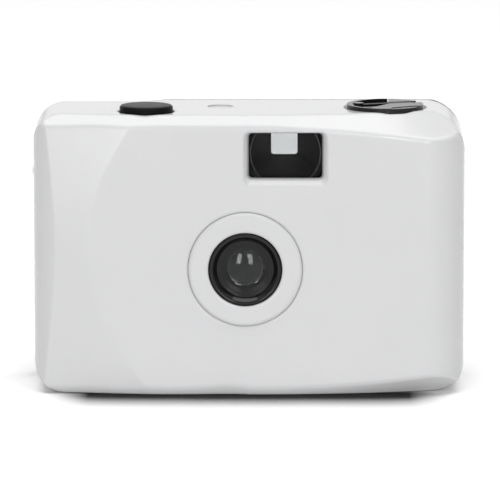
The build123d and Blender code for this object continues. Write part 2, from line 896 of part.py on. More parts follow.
def counter_dial():
    """Toothed disc that shows the frame number under the window."""
    z1 = inner_deck_z - counter_gap
    z0 = z1 - counter_thickness
    tooth = 2 * pi * counter_radius / counter_teeth
    disc = Circle(counter_radius - 0.6 * counter_tooth_length)
    for index in range(counter_teeth):
        angle = 360 * index / counter_teeth
        disc += Rot(0, 0, angle) * Pos(counter_radius - counter_tooth_length / 2, 0) * Rectangle(
            counter_tooth_length, tooth / 2
        )
    dial = plate_z(Pos(counter_x, counter_y) * disc, z0, z1)
    dial += rod_z(counter_x, counter_y, counter_hub_radius, z0 - counter_hub_height, z0 + 0.2)
    return dial - rod_z(counter_x, counter_y, pivot_radius + running_gap, z0 - 3, z1 + 1)


def counter_post():
    """Pin that carries the counter dial, standing on the gear plate."""
    z1 = inner_deck_z - counter_gap - counter_thickness
    shoulder_z = z1 - counter_hub_height - 0.1
    post = rod_z(counter_x, counter_y, counter_post_radius, top_plate_z, shoulder_z)
    return post + rod_z(counter_x, counter_y, pivot_radius, shoulder_z - 0.1, inner_deck_z - counter_gap + 0.5)


# Shutter button


def shutter_button():
    """Round button with a domed top, a skirt and a stem."""
    z1 = deck_height + button_proud
    skirt_z = inner_deck_z - button_skirt
    profile = [
        (0, skirt_z + button_roof),
        (0, z1),
        (button_radius - 1.6, z1 - 0.06),
        (button_radius - 0.4, z1 - 0.2),
        (button_radius, z1 - 0.6),
        (button_radius, skirt_z),
        (button_radius - button_wall, skirt_z),
        (button_radius - button_wall, skirt_z + button_roof),
    ]
    cap = turned(profile, button_x, button_y, 0)
    return cap + rod_z(button_x, button_y, button_stem_radius, button_stem_end, skirt_z + button_roof + 0.2)


def coil_spring(x, y, radius, wire, z0, z1, turns):
    """Square-section wire wound between two heights."""
    pitch = (z1 - z0 - wire) / turns
    path = Helix(pitch, pitch * turns, radius, center=(x, y, z0 + wire / 2))
    start = path @ 0
    facing = Plane(start, x_dir=(1, 0, 0), z_dir=path % 0)
    return sweep(facing * Rectangle(wire, wire), path, is_frenet=True)


def button_spring():
    roof = inner_deck_z - button_skirt + button_roof
    return coil_spring(button_x, button_y, button_spring_radius, button_spring_wire, button_spring_z0,
                       roof - 0.05, button_spring_turns)


# Rewind knob, crank and shaft

knob_floor_z = deck_height - knob_recess + 0.05
knob_top_z = deck_height + knob_top
crank_angle = degrees(atan2(crank_pivot_dy - crank_peg_dy, crank_pivot_dx - crank_peg_dx))
crank_pivot_x = cassette_x + crank_pivot_dx
crank_pivot_y = cassette_y + crank_pivot_dy
crank_length = hypot(crank_pivot_dx - crank_peg_dx, crank_pivot_dy - crank_peg_dy)
crank_z = knob_top_z - crank_thickness / 2 - 0.05


def crank_place():
    """From a frame with the arm along -X at the pivot to its real place."""
    return Pos(crank_pivot_x, crank_pivot_y, crank_z) * Rot(0, 0, crank_angle)


def rewind_knob():
    """Disc with raised wings round a channel that widens to the left for the crank."""
    flange_top = knob_floor_z + knob_flange
    disc = rod_z(cassette_x, cassette_y, knob_radius, knob_floor_z, flange_top)
    face_radius = knob_radius - knob_rim
    side = crank_width / 2 + crank_gap
    turn = radians(crank_angle)
    far = 2 * knob_radius

    def along(distance, across):
        """A point beside the arm's line, measured from the crank's pivot."""
        x = crank_pivot_dx + distance * cos(turn) - across * sin(turn)
        y = crank_pivot_dy + distance * sin(turn) + across * cos(turn)
        return x, y

    channel = [along(far, side), along(wing_back_start, side), (wing_back_x, far), (-far, far), (-far, -far),
               (wing_front_x, -far), (wing_front_x, -face_radius), along(wing_front_start, -side),
               along(far, -side)]
    channel = make_face(Polyline(*channel, close=True))
    crescent = Circle(face_radius) - Pos(crescent_width, 0) * Circle(face_radius)
    raised = (Circle(face_radius) - channel) + crescent
    knob = disc + plate_z(Pos(cassette_x, cassette_y) * raised, flange_top - 0.05, knob_top_z)
    # Fine step across the front wing
    lowered = [wing_step_front, wing_step_back, (far, wing_step_back[1]), (far, -far),
               (wing_step_front[0], -far)]
    lowered = make_face(Polyline(*lowered, close=True))
    knob -= plate_z(Pos(cassette_x, cassette_y) * lowered, knob_top_z - wing_step, knob_top_z + 1)
    # Ears for the crank pin, beside the arm's eye
    for way in (-1, 1):
        ear = Pos(0, way * (side + ear_thickness / 2), (knob_top_z + flange_top) / 2 - crank_z)
        knob += crank_place() * ear * Box(ear_length, ear_thickness, knob_top_z - flange_top)
    knob -= crank_place() * Rot(90, 0, 0) * Cylinder(crank_pin_radius, crank_width + 2 * crank_gap + 1.2)
    knob -= crank_place() * Rot(90, 0, 0) * Cylinder(crank_eye_radius + 0.15, crank_width + 2 * crank_gap)
    hub = rod_z(cassette_x, cassette_y, knob_hub_radius, shaft_joint_z, knob_floor_z + 0.1)
    return knob + hub


def rewind_lever():
    """Slim arm that folds flat into the knob's channel."""
    start = crank_eye_radius * 0.8
    arm = Pos(-(crank_length + start) / 2, 0) * Rectangle(crank_length - start, crank_width * 0.8)
    arm += Pos(-crank_length, 0) * Circle(peg_radius - 0.1)
    bar = Pos(0, 0, -crank_thickness / 2) * extrude(arm, crank_thickness)
    bar += Pos(-0.4, 0, 0) * Box(0.8, crank_width, crank_thickness)
    bar += Rot(90, 0, 0) * Cylinder(crank_eye_radius, crank_width)
    bar -= Rot(90, 0, 0) * Cylinder(crank_pin_radius + running_gap, crank_width + 2)
    bar -= Pos(-crank_length, 0, 0) * Cylinder(peg_stem_radius + running_gap, 3)
    bar -= Pos(-crank_length, 0, -crank_thickness / 2) * Cylinder(peg_stem_radius + 0.35, 0.5)
    return crank_place() * bar


def crank_handle():
    """Finger peg that turns on the arm's end, held by the foot of its stem."""
    top = crank_thickness / 2
    place = Pos(-crank_length, 0, 0)
    cap = place * Pos(0, 0, top + 0.25) * Cylinder(peg_radius, 0.4)
    cap = chamfer(cap.edges().group_by(Axis.Z)[-1], 0.15)
    stem = place * Pos(0, 0, 0.05) * Cylinder(peg_stem_radius, crank_thickness)
    foot = place * Pos(0, 0, -top + 0.09) * Cylinder(peg_stem_radius + 0.3, 0.18)
    return crank_place() * (cap + stem + foot)


def lever_pin():
    """Pin across the ears that the crank folds on."""
    return crank_place() * Rot(90, 0, 0) * Cylinder(crank_pin_radius, crank_width + 2 * crank_gap + 1.1)


def rewind_shaft():
    """Shaft from the knob to the fork that turns the cassette's spool."""
    fork_top = chamber_z1 - 0.2
    shaft = rod_z(cassette_x, cassette_y, rewind_shaft_radius, fork_top, shaft_joint_z)
    fork = rod_z(cassette_x, cassette_y, rewind_shaft_radius, fork_top - fork_depth, fork_top)
    fork &= block(cassette_x - fork_blade / 2, cassette_x + fork_blade / 2, cassette_y - 5, cassette_y + 5,
                  fork_top - fork_depth, fork_top)
    groove = tube_z(cassette_x, cassette_y, rewind_shaft_radius + 1, rewind_shaft_radius - ring_groove,
                    ring_groove_z, ring_groove_z + ring_groove_height)
    return shaft + fork - groove


def rewind_retaining_ring():
    """Open spring ring in the shaft's groove."""
    z0, z1 = ring_groove_z, ring_groove_z + ring_groove_height
    inner = rewind_shaft_radius - ring_groove + running_gap
    ring = tube_z(cassette_x, cassette_y, rewind_shaft_radius + ring_width, inner, z0 + 0.1, z1 - 0.1)
    mouth = block(cassette_x, cassette_x + 6, cassette_y - ring_mouth / 2, cassette_y + ring_mouth / 2, z0, z1)
    return ring - mouth


# Film transport


def gear_face(teeth, phase):
    """Outline of a gear with straight-flanked teeth that narrow to their tips."""
    pitch_radius = gear_module * teeth / 2
    root = pitch_radius - gear_root_share * gear_module
    tip = pitch_radius + gear_tip_share * gear_module
    half_pitch = pi * gear_module / 2
    base = (half_pitch + tooth_base_share * gear_module) / 2 - gear_backlash / 4
    peak = (half_pitch - tooth_peak_share * gear_module) / 2 - gear_backlash / 4
    flanks = [(root - 0.3, -base), (tip, -peak), (tip, peak), (root - 0.3, base)]
    tooth = make_face(Polyline(*flanks, close=True))
    face = Circle(root)
    for index in range(teeth):
        face += Rot(0, 0, phase + 360 * index / teeth) * tooth
    return face


def mesh_phase(teeth, towards, partner_teeth, partner_phase):
    """Turn of a gear that puts a gap where its partner has a tooth."""
    partner_at = (towards + 180 - partner_phase) / (360 / partner_teeth)
    return towards + 180 / teeth + (partner_at % 1) * 360 / teeth


take_up_direction = degrees(atan2(thumb_y - take_up_y, thumb_x - take_up_x))
sprocket_direction = degrees(atan2(thumb_y - sprocket_y, thumb_x - sprocket_x))


def thumbwheel():
    """Knurled wheel with its gear on one hub."""
    z0, z1 = thumbwheel_z, thumbwheel_z + thumbwheel_height
    wheel = Circle(thumbwheel_radius)
    for index in range(thumbwheel_notches):
        angle = 360 * index / thumbwheel_notches
        notch = Rot(0, 0, 45) * Rectangle(notch_side, notch_side)
        wheel -= Rot(0, 0, angle) * Pos(thumbwheel_radius, 0) * notch
    body = plate_z(Pos(thumb_x, thumb_y) * wheel, z0, z1)
    body -= tube_z(thumb_x, thumb_y, thumbwheel_radius - thumb_rim, thumb_core_radius, z0 + thumb_floor, z1 + 1)
    body += rod_z(thumb_x, thumb_y, thumb_hub_radius, gear_z, z0 + 0.2)
    body += plate_z(Pos(thumb_x, thumb_y) * gear_face(thumb_gear_teeth, 0), gear_z, gear_z + gear_height)
    return body - rod_z(thumb_x, thumb_y, axle_radius + running_gap, gear_z - 1, z1 + 1)


def thumbwheel_axle():
    return rod_z(thumb_x, thumb_y, axle_radius, top_plate_z, thumbwheel_z + thumbwheel_height + 0.8)


def take_up_spool():
    """Slotted drum with flanges, on a shaft that runs up to its gear."""
    z0, z1 = chamber_z0 + transport_end_gap, chamber_z1 - transport_end_gap
    drum = tube_z(take_up_x, take_up_y, take_up_drum, take_up_drum - spool_wall, z0, z1)
    spool = drum + rod_z(take_up_x, take_up_y, take_up_drum - spool_wall + 0.2, z0, z0 + spool_wall)
    spool += rod_z(take_up_x, take_up_y, take_up_drum - spool_wall + 0.2, z1 - spool_wall, z1)
    for z in (z0, z1 - spool_flange_thickness):
        spool += rod_z(take_up_x, take_up_y, take_up_flange, z, z + spool_flange_thickness)
    slot_height = film_width / 2 - 3
    for angle in (0, 120, 240):
        slot = block(take_up_drum - 2, take_up_drum + 1, -spool_slot_width / 2, spool_slot_width / 2,
                     lens_z - slot_height, lens_z + slot_height)
        spool -= Pos(take_up_x, take_up_y, 0) * Rot(0, 0, angle) * slot
    # Small tooth that catches the film's perforation
    hook = block(take_up_drum - 0.2, take_up_drum + 0.8, -0.5, 0.5, lens_z - perforation_row - 0.8,
                 lens_z - perforation_row + 0.8)
    spool += Pos(take_up_x, take_up_y, 0) * Rot(0, 0, 30) * hook
    spool += rod_z(take_up_x, take_up_y, shaft_radius, z1 - shaft_overlap,
                   gear_plate_z + gear_plate_thickness + 0.2)
    spool += rod_z(take_up_x, take_up_y, shaft_radius, chamber_z0 - shaft_foot, z0 + shaft_overlap)
    return spool


def take_up_gear():
    phase = mesh_phase(take_up_gear_teeth, take_up_direction, thumb_gear_teeth, 0)
    face = gear_face(take_up_gear_teeth, phase)
    gear = plate_z(Pos(take_up_x, take_up_y) * face, gear_z, gear_z + gear_height)
    return gear - rod_z(take_up_x, take_up_y, shaft_radius, gear_z - 1, gear_z + gear_height + 1)


def sprocket_wheel():
    """Toothed drum that meters the film, eight perforations to a turn."""
    z0, z1 = chamber_z0 + transport_end_gap, chamber_z1 - transport_end_gap
    wheel = rod_z(0, 0, sprocket_waist, z0, z1)
    for side in (-1, 1):
        mid = lens_z + side * perforation_row
        wheel += rod_z(0, 0, sprocket_radius - 0.25, mid - sprocket_band / 2, mid + sprocket_band / 2)
        for index in range(sprocket_teeth):
            root = Plane((sprocket_radius - 0.6, 0, mid), x_dir=(0, 1, 0), z_dir=(1, 0, 0))
            tip = Plane((sprocket_radius - 0.25 + sprocket_tooth, 0, mid), x_dir=(0, 1, 0), z_dir=(1, 0, 0))
            tooth = loft([root * Rectangle(1.7, 1.9), tip * Rectangle(0.8, 1.1)])
            wheel += Rot(0, 0, 360 * index / sprocket_teeth) * tooth
    wheel += rod_z(0, 0, shaft_radius, chamber_z0 - shaft_foot, z0 + shaft_overlap)
    top = inner_deck_z - counter_gap - 0.2
    wheel += rod_z(0, 0, shaft_radius, z1 - shaft_overlap, gear_z + gear_height)
    wheel += rod_z(0, 0, sprocket_pin_radius, gear_z + gear_height - 0.1, top)
    reach = hypot(counter_x - sprocket_x, counter_y - sprocket_y) - counter_radius - counter_finger_gap
    finger = Pos(reach / 2, 0, top - counter_finger_height / 2) * Box(
        reach, counter_finger_width, counter_finger_height
    )
    return Pos(sprocket_x, sprocket_y, 0) * (wheel + finger)


def sprocket_gear():
    phase = mesh_phase(sprocket_gear_teeth, sprocket_direction, thumb_gear_teeth, 0)
    face = gear_face(sprocket_gear_teeth, phase)
    gear = plate_z(Pos(sprocket_x, sprocket_y) * face, gear_z, gear_z + gear_height)
    return gear - rod_z(sprocket_x, sprocket_y, shaft_radius, gear_z - 1, gear_z + gear_height + 1)


plate_post_places = [(take_up_x + 1.0, take_up_y - 8.6), (sprocket_x + 1.2, sprocket_y + 10.0)]


def gear_plate():
    """Thin plate over the gears that holds the shafts' upper ends."""
    z0, z1 = gear_plate_z, gear_plate_z + gear_plate_thickness
    hull = Pos(take_up_x, take_up_y) * Circle(plate_end_radius)
    hull += Pos(sprocket_x, sprocket_y) * Circle(plate_end_radius)
    for x, y in plate_post_places:
        hull += Pos(x, y) * Circle(plate_ear_radius)
    plate = plate_z(make_hull(hull.edges()), z0, z1)
    plate -= rod_z(thumb_x, thumb_y, thumb_hub_radius + thumb_hub_gap, z0 - 1, z1 + 1)
    plate -= rod_z(take_up_x, take_up_y, shaft_radius + running_gap, z0 - 1, z1 + 1)
    plate -= rod_z(sprocket_x, sprocket_y, sprocket_pin_radius + running_gap, z0 - 1, z1 + 1)
    for x, y in plate_post_places:
        plate -= rod_z(x, y, plate_screw_radius + 0.05, z0 - 1, z1 + 1)
    return plate


def plate_screws():
    screws = Part()
    z1 = gear_plate_z + gear_plate_thickness
    for x, y in plate_post_places:
        shank = rod_z(x, y, plate_screw_radius, z1 - plate_screw_length, z1 + 0.1)
        head = rod_z(x, y, plate_screw_head_radius, z1, z1 + plate_screw_head_height)
        screws += shank + head
    return screws


def ratchet_pawl():
    """Springy tongue beside the take-up gear that stops it running back."""
    tip_x = take_up_x - pawl_from_spool
    tongue = outline([
        (tip_x, take_up_y + 2.0),
        (tip_x - 0.9, take_up_y + 2.2),
        (tip_x - 2.0, take_up_y - 6.0),
        (tip_x + 0.6, take_up_y - 9.4),
        (tip_x + 2.6, take_up_y - 7.6),
        (tip_x - 0.4, take_up_y - 5.4),
    ])
    foot = rod_z(tip_x + 1.0, take_up_y - 8.0, 1.2, top_plate_z, gear_z + 0.4)
    return plate_z(tongue, gear_z, gear_z + gear_height - 0.4) + foot


# Main body: chambers, film gate and the black back frame


def light_box(grow):
    """Tapering space from the shutter to the film frame."""
    near = Plane((lens_x, shutter_back_y, lens_z), x_dir=(1, 0, 0), z_dir=(0, -1, 0))
    far = Plane((lens_x, film_y, lens_z), x_dir=(1, 0, 0), z_dir=(0, -1, 0))
    small = Rectangle(light_box_front + 2 * grow, light_box_front + 2 * grow)
    large = Rectangle(frame_width + 2 * grow, frame_height + 2 * grow)
    return loft([near * small, far * large])


def chamber_walls():
    """Plan of the walls round the cassette, the take-up spool and the sprocket."""
    wall = chamber_wall
    plan = Pos(cassette_x, cassette_y) * Circle(cassette_radius + wall)
    plan += Pos(take_up_x, take_up_y) * Circle(take_up_radius + wall)
    plan += Pos(sprocket_x, sprocket_y) * Circle(sprocket_pocket + wall)
    right = cassette_x + cassette_radius + wall
    plan += Pos((cassette_x + right) / 2, (cassette_y + rear_inner_y) / 2) * Rectangle(
        right - cassette_x, rear_inner_y - cassette_y
    )
    return plan


def chamber_spaces():
    """The spaces themselves, open to the back."""
    z0, z1 = chamber_z0, chamber_z1
    spaces = rod_z(cassette_x, cassette_y, cassette_radius, z0, z1)
    x0, x1 = cassette_x - cassette_radius, cassette_x + cassette_radius
    spaces += block(x0, x1, cassette_y, rear_y + 1, z0, z1)
    spaces += rod_z(take_up_x, take_up_y, take_up_radius, z0, z1)
    spaces += block(take_up_x - take_up_radius, take_up_x + take_up_radius, take_up_y, rear_y + 1, z0, z1)
    spaces += rod_z(sprocket_x, sprocket_y, sprocket_pocket, z0, z1)
    return spaces


def main_body():
    z0, z1 = floor_z, top_plate_z
    near_y = shutter_back_y + 0.1
    body = plate_z(chamber_walls(), z0, z1)
    body += block(-half, half, film_y - rail_plate, film_y - rail_height, z0, z1)
    body += light_box(light_box_wall) & block(-half, half, near_y, film_y - rail_height, z0, z1)
    # Floor and roof of the film space
    for low, high in ((z0, chamber_z0), (chamber_z1, z1)):
        body += block(-half, half, near_y - floor_reach, rear_inner_y, low, high)
    # Roof steps down under the viewfinder
    fx0 = finder_x - finder_width / 2 - trough_side
    fx1 = finder_x + finder_width / 2 + trough_side
    fz = finder_z0 - trough_below_finder
    body += block(fx0 - trough_wall, fx1 + trough_wall, near_y - floor_reach, film_y, fz - trough_floor,
                  chamber_z1 + 0.1)
    body -= block(fx0, fx1, front_y, film_y - 0.2, fz, z1 + 1)
    body -= block(fx0, fx1, film_y - 0.3, rear_inner_y - 0.6, chamber_z1 + 1.0, z1 + 1)
    body -= chamber_spaces()
    body -= block(take_up_x, cassette_x, film_y - rail_height, rear_inner_y, chamber_z0, chamber_z1)
    body -= light_box(0)
    # Rails: the film runs on the inner pair, the outer pair guides its edges
    rail_x0 = sprocket_x + sprocket_pocket + rail_end_gap
    rail_x1 = cassette_x - cassette_radius - rail_end_gap
    inner = frame_height / 2 + rail_from_frame
    outer = film_width / 2 + guide_gap
    for side in (-1, 1):
        inner_z = sorted((lens_z + side * inner, lens_z + side * (inner + rail_width)))
        outer_z = sorted((lens_z + side * outer, lens_z + side * (outer + guide_width)))
        body += block(rail_x0, rail_x1, film_y - rail_depth, film_y, *inner_z)
        body += block(rail_x0, rail_x1, film_y - rail_depth, film_y + rail_height, *outer_z)
    body &= housing_form(cover_wall + inside_gap, rear_y)
    # Bearings for the shafts, and the slot for the rewind shaft
    for x, y in ((take_up_x, take_up_y), (sprocket_x, sprocket_y)):
        body -= rod_z(x, y, shaft_radius + running_gap, chamber_z1 - 1, z1 + 1)
        body -= rod_z(x, y, shaft_radius + running_gap, chamber_z0 - bearing_depth, chamber_z0 + 1)
    body -= rod_z(cassette_x, cassette_y, rewind_shaft_radius + running_gap, chamber_z1 - 1, z1 + 1)
    # Posts under the gear plate
    for x, y in plate_post_places:
        body += rod_z(x, y, plate_post_radius, z1 - 0.1, gear_plate_z)
        body -= rod_z(x, y, plate_screw_radius, z1, gear_plate_z + 1)
    # Slot that guides the release slide
    body -= block(button_x - slide_width / 2 - slide_gap, button_x + slide_width / 2 + slide_gap, front_y,
                  slide_y + slide_thickness / 2 + slide_gap, chamber_z1 - 1, z1 + 1)
    head_side = slide_width / 2 + slide_head_overhang + slide_gap
    head_low = button_stem_end - slide_head_height - button_travel - 2 * slide_gap
    body -= block(button_x - head_side, button_x + head_side, front_y,
                  button_y + button_stem_radius + slide_gap, head_low, z1 + 1)
    # Room for the front cover's screw bosses
    for x, z in cover_screw_places:
        body -= rod_y(x, z, boss_radius + inside_gap, front_y, boss_back_y + inside_gap)
    body -= rod_z(hinge_x, hinge_y, hinge_radius + hinge_clearance, door_z0, door_z1)
    body += back_frame()
    body -= block(fx0, fx1, front_y, film_y - 0.2, fz, z1 + 1)
    body -= block(eyepiece_x - eyepiece_width, eyepiece_x + eyepiece_width, film_y - 0.3, rear_inner_y + 0.02,
                  chamber_z1 + 1.0, z1 + 1)
    body -= rod_z(hinge_x, hinge_y, hinge_pin_radius, door_z0 - 1, door_z1 + 1)
    return body - seal_strips()


def back_frame():
    """Black rear frame that shows round the door, with its hinge and openings."""
    form = housing_form(0, rear_y)
    back_edges = form.edges().group_by(Axis.Y)[-1].filter_by(lambda edge: abs(edge.center().Z - lens_z) > 25)
    form = trimmed(fillet(back_edges, rear_edge_round))
    # The top is lower than the deck, and lowest on the left
    low, high = deck_height - frame_drop_left, deck_height - frame_drop_right
    x0 = frame_inset - half
    limit = [(x0, -1), (body_width, -1), (body_width, high), (parting_step_x1, high), (parting_step_x0, low),
             (x0, low)]
    form &= plate_y(outline(limit, [0, 0, 0, 0, 0, frame_corner]), -body_width, body_width)
    frame = form - housing_form(cover_wall, rear_inner_y)
    frame &= parting_region(seam_gap)
    frame = frame - block(hinge_x - 6, door_x1 + door_gap, rear_inner_y - 0.01, rear_y + 1, door_z0, door_z1)
    # Room for the hinge barrel and the sweep of the door's edge
    frame -= block(-half - 1, hinge_x, hinge_y, rear_y + 1, door_z0, door_z1)
    frame -= rod_z(hinge_x, hinge_y, hinge_radius + hinge_clearance, door_z0, door_z1)
    # Floor and roof reach into the back wall
    for low, high in ((floor_z, chamber_z0), (chamber_z1, top_plate_z)):
        ledge = block(-half, half, parting_y + 0.3, rear_inner_y - 0.1, low, high)
        frame += ledge & housing_form(cover_wall - 0.2, rear_y)
    for low, high in ((floor_z, door_z0), (door_z1, top_plate_z)):
        frame += block(band_inset - half, half - band_inset, rear_inner_y - 0.3, rear_y - 0.5, low, high)
    frame -= rod_z(hinge_x, hinge_y, hinge_radius + hinge_clearance, door_z0, door_z1)
    for low, high in ((door_z0, hinge_knuckle_z0 - door_gap), (hinge_knuckle_z1 + door_gap, door_z1)):
        knuckle = rod_z(hinge_x, hinge_y, hinge_radius, low, high)
        knuckle += block(-half + 0.2, hinge_x - 0.2, hinge_y - knuckle_reach, hinge_y, low, high)
        frame += knuckle - rod_z(hinge_x, hinge_y, hinge_pin_radius, low - 1, high + 1)
    frame -= rod_z(hinge_x, hinge_y, hinge_pin_radius, door_z0 - 1, door_z1 + 1)
    # Slot for the thumbwheel
    reach = sqrt(thumbwheel_radius**2 - (rear_inner_y - thumb_y) ** 2) + thumb_slot_end
    slot = rounded_slot(thumb_x - reach, thumb_x + reach, thumbwheel_z - thumb_slot_gap,
                        thumbwheel_z + thumbwheel_height + thumb_slot_gap, 1.0)
    frame -= plate_y(slot, rear_inner_y - 1, rear_y + 1)
    # Eyepiece opening with a recess round it
    frame -= plate_y(offset(eyepiece_outline(), running_gap), rear_inner_y - 1, rear_y + 1)
    frame -= plate_y(offset(eyepiece_outline(), eyepiece_recess), rear_y - eyepiece_recess_depth, rear_y + 1)
    # Screw holes with sunk heads
    for x, z in cover_screw_places:
        frame -= rod_y(x, z, screw_radius + screw_hole_gap, parting_left_y - 1, rear_y + 1)
        frame -= rod_y(x, z, screw_head_radius + screw_hole_gap, rear_y - screw_head_height - 0.1, rear_y + 1)
    # Slot in the right wall for the latch's thumb pad
    mid = (latch_z0 + latch_z1) / 2
    frame -= block(half - cover_wall - 1, half + 1, parting_y - 1, rear_inner_y + 1,
                   mid - latch_pad / 2 - latch_travel - latch_slot_gap, mid + latch_pad / 2 + latch_slot_gap)
    return frame


# Back door and what it carries


def film_window():
    """Outline of the window over the cassette."""
    x0, x1 = cassette_x - window_width / 2, cassette_x + window_width / 2
    z0, z1 = lens_z - window_height / 2, lens_z + window_height / 2
    return rounded_slot(x0, x1, z0, z1, window_corner)


def back_door():
    """Door that carries the window, the catch and the spring's seats."""
    x0 = hinge_x + hinge_radius + 0.2
    z0, z1 = door_z0 + door_gap, door_z1 - door_gap
    door = block(x0, door_x1, rear_inner_y, rear_y, z0, z1)
    door = fillet(door.edges().filter_by(Axis.Z).group_by(Axis.Y)[-1].sort_by(Axis.X)[-1:], door_edge_round)
    # Raised panel edge on the outside
    px0, px1 = x0 + panel_left, door_x1 - panel_right
    pz0, pz1 = z0 + panel_edge, z1 - panel_edge
    panel = outline([(px0, pz0), (px1, pz0), (px1, pz1), (px0, pz1)], panel_edge)
    door -= plate_y(panel - offset(panel, -panel_groove), rear_y - panel_groove_depth, rear_y + 1)
    # Ribs that drop into the film space and stop the light
    for low in (chamber_z0 + rib_inset, chamber_z1 - rib_inset - rib_thickness):
        door += block(take_up_x - rib_left, cassette_x + cassette_radius - 1.5,
                      rear_inner_y - rib_depth, rear_inner_y + 0.1, low, low + rib_thickness)
    # Knuckle on the hinge pin
    low, high = hinge_knuckle_z0, hinge_knuckle_z1
    door += rod_z(hinge_x, hinge_y, hinge_radius, low, high)
    door += block(hinge_x, x0 + 0.5, hinge_y + 0.4, hinge_y + hinge_radius - 0.05, low, high)
    door -= rod_z(hinge_x, hinge_y, hinge_pin_radius + running_gap, low - 1, high + 1)
    # Window over the cassette
    door -= plate_y(film_window(), rear_inner_y - 1, rear_y + 1)
    door -= plate_y(offset(film_window(), window_lip), rear_inner_y - 1, rear_inner_y + window_glass)
    # Catch for the latch: an arm with a hook that hangs down
    cx1 = door_x1 - catch_inset
    arm_y = rear_inner_y - catch_arm
    catch_top = catch_z + catch_half_height
    door += block(cx1 - catch_thickness, cx1, arm_y, rear_inner_y + 0.1, catch_z - catch_half_height, catch_top)
    door += block(cx1 - catch_thickness, cx1, arm_y - catch_hook, arm_y, catch_z - catch_hook_drop, catch_top)
    # Seats for the leaf spring's ends
    for side in (-1, 1):
        x = lens_x + side * spring_length / 2
        seat = spring_width / 2 + spring_seat_edge
        door += block(x - spring_seat_half, x + spring_seat_half, rear_inner_y - spring_seat_depth,
                      rear_inner_y + 0.1, lens_z - seat, lens_z + seat)
    return door


def door_window():
    """Clear pane behind the opening over the cassette."""
    pane = offset(film_window(), window_lip - window_pane_gap)
    return plate_y(pane, rear_inner_y, rear_inner_y + window_glass)


def window_seal():
    """Foam frame round the film window, on the inside of the door."""
    ring = offset(film_window(), window_seal_width) - offset(film_window(), window_seal_gap)
    return plate_y(ring, rear_inner_y - window_seal_thickness, rear_inner_y)


def pressure_plate():
    """Flat plate that holds the film against the rails."""
    y0 = film_y + rail_height + pressure_gap
    y1 = y0 + pressure_thickness
    shape = RectangleRounded(pressure_width, pressure_height, 2.0)
    plate = plate_y(Pos(lens_x, lens_z) * shape, y0, y1)
    relief = Rectangle(frame_width, 3.0) - Rectangle(frame_width - 2, 1.0)
    plate -= plate_y(Pos(lens_x, lens_z) * relief, y0 - 1, y0 + 0.15)
    # Shallow seat and two ears for the leaf spring
    for side in (-1, 1):
        z = lens_z + side * (spring_width / 2 + 0.7)
        plate += block(lens_x - 3.0, lens_x + 3.0, y1 - 0.1, y1 + 0.9, z - 0.4, z + 0.4)
    return plate


def pressure_spring():
    """Bowed leaf between the door and the plate."""
    y_plate = film_y + rail_height + pressure_gap + pressure_thickness + 0.1
    y_door = rear_inner_y - spring_seat_depth
    reach = spring_length / 2
    rise = y_door - y_plate
    radius = (reach**2 + rise**2) / (2 * rise)
    centre_y = y_plate + radius
    ring = Pos(lens_x, centre_y) * (Circle(radius) - Circle(radius - spring_strip))
    window = Pos(lens_x, (y_plate + y_door) / 2) * Rectangle(spring_length, rise + 0.001)
    return plate_z(ring & window, lens_z - spring_width / 2, lens_z + spring_width / 2)


def hinge_pin():
    return rod_z(hinge_x, hinge_y, hinge_pin_radius, door_z0 + 0.3, door_z1 - 0.3)


def seal_strips():
    """Foam strips sunk in the ledges above and below the door."""
    y1 = rear_inner_y - 0.1
    low, high = (door_z0 + chamber_z0) / 2, (door_z1 + chamber_z1) / 2
    strips = Part()
    for z in (low, high):
        strips += block(take_up_x - rib_left, door_x1 - 4, y1 - seal_depth, y1,
                        z - seal_thickness / 2, z + seal_thickness / 2)
    return strips


def door_latch():
    """Slider in the right wall: thumb pad outside, finger inside."""
    mid = (latch_z0 + latch_z1) / 2
    x1 = half - cover_wall - 0.3
    x0 = x1 - latch_thickness
    y0, y1 = latch_y0, rear_inner_y - 0.9
    slider = block(x0, x1, y0, y1, latch_z0 + latch_travel, latch_z1)
    pad_y0, pad_y1 = parting_y + 0.5, rear_inner_y - 0.5
    pad = block(x1 - 0.1, half - 0.35, pad_y0, pad_y1, mid - latch_pad / 2, mid + latch_pad / 2)
    for index in range(5):
        z = mid + (index - 2) * 1.2
        pad += block(half - 0.45, half - 0.1, pad_y0, pad_y1, z - 0.25, z + 0.25)
    finger = block(door_x1 - 0.3, x0 + 0.1, y1 - 3.0, y1 - 1.6, catch_z - 4.6, catch_z - 2.1)
    return slider + pad + finger


def latch_spring():
    """Small coil under the slider that pushes it up."""
    x = half - cover_wall - 0.3 - latch_thickness / 2
    y = latch_y0 + 1.4
    return coil_spring(x, y, 0.7, 0.3, latch_spring_z0, latch_z0 + latch_travel - 0.05, 5)


# Rewind release button, screws and strap bar


def rewind_release_button():
    """Button in the base that frees the sprocket for rewinding."""
    head = rod_z(sprocket_x, sprocket_y, release_radius, release_setback, cover_wall + 0.2)
    head = chamfer(head.edges().group_by(Axis.Z)[0], 0.3)
    flange = rod_z(sprocket_x, sprocket_y, release_radius + 0.8, cover_wall + 0.1, cover_wall + 0.7)
    return head + flange


def rewind_release_spring():
    """Bowed leaf between the release button and the floor of the film space."""
    z0, z1 = cover_wall + 0.75, floor_z - 0.05
    reach, rise = 3.0, z1 - z0
    radius = (reach**2 + rise**2) / (2 * rise)
    ring = Pos(sprocket_x, z0 + radius) * (Circle(radius) - Circle(radius - 0.25))
    window = Pos(sprocket_x, (z0 + z1) / 2) * Rectangle(2 * reach, rise + 0.001)
    return plate_y(ring & window, sprocket_y - 1.0, sprocket_y + 1.0)


